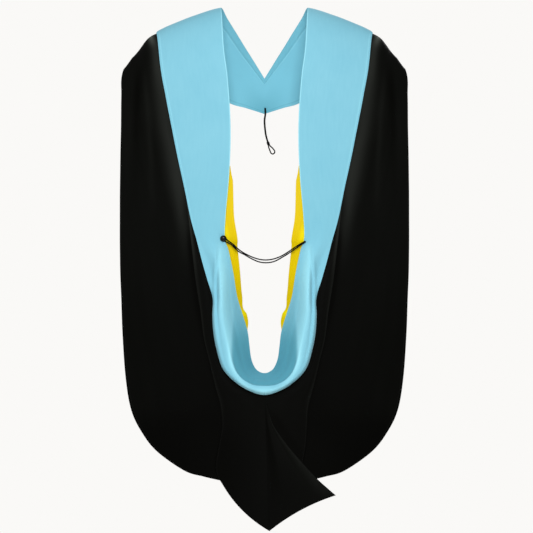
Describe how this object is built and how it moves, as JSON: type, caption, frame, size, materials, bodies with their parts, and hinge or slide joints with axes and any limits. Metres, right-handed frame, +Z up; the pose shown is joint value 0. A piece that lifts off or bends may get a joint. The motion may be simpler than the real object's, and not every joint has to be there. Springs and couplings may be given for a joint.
{
  "type": "academic hood",
  "caption": "Doctor's academic hood in its worn form: a velvet band over both shoulders to a rolled rim at the back, satin lining, black panels, cowl and a pointed tail.",
  "frame": {"origin": "midway between the two neck peaks, at their height, where the hood sits on the shoulders beside the neck", "axes": "+Z up, +Y to the wearer's front, so the back with the rolled rim and the tail faces -Y, and +X is to the right of a viewer behind the wearer"},
  "size_m": [0.6642, 0.2482, 1.2001],
  "materials": {
    "velvet": "matte nap, light blue velvet",
    "satin": "soft sheen, gold satin",
    "shell": "matte, black crepe cloth",
    "cord": "matte, twisted black cord",
    "button": "polished"
  },
  "bodies": {
    "root": {"velvet_left": "velvet", "velvet_right": "velvet", "lining_left": "satin", "lining_right": "satin", "panel_left": "shell", "panel_right": "shell", "cowl_left": "shell", "cowl_right": "shell", "tail_flap": "shell", "button": "button", "back_cord_upper": "cord", "back_cord_lower": "cord", "back_cord_loop": "cord", "back_knot": "cord", "front_cord_left": "cord", "front_cord_right": "cord", "front_cord_loop": "cord", "front_knot": "cord"}
  },
  "joints": []
}
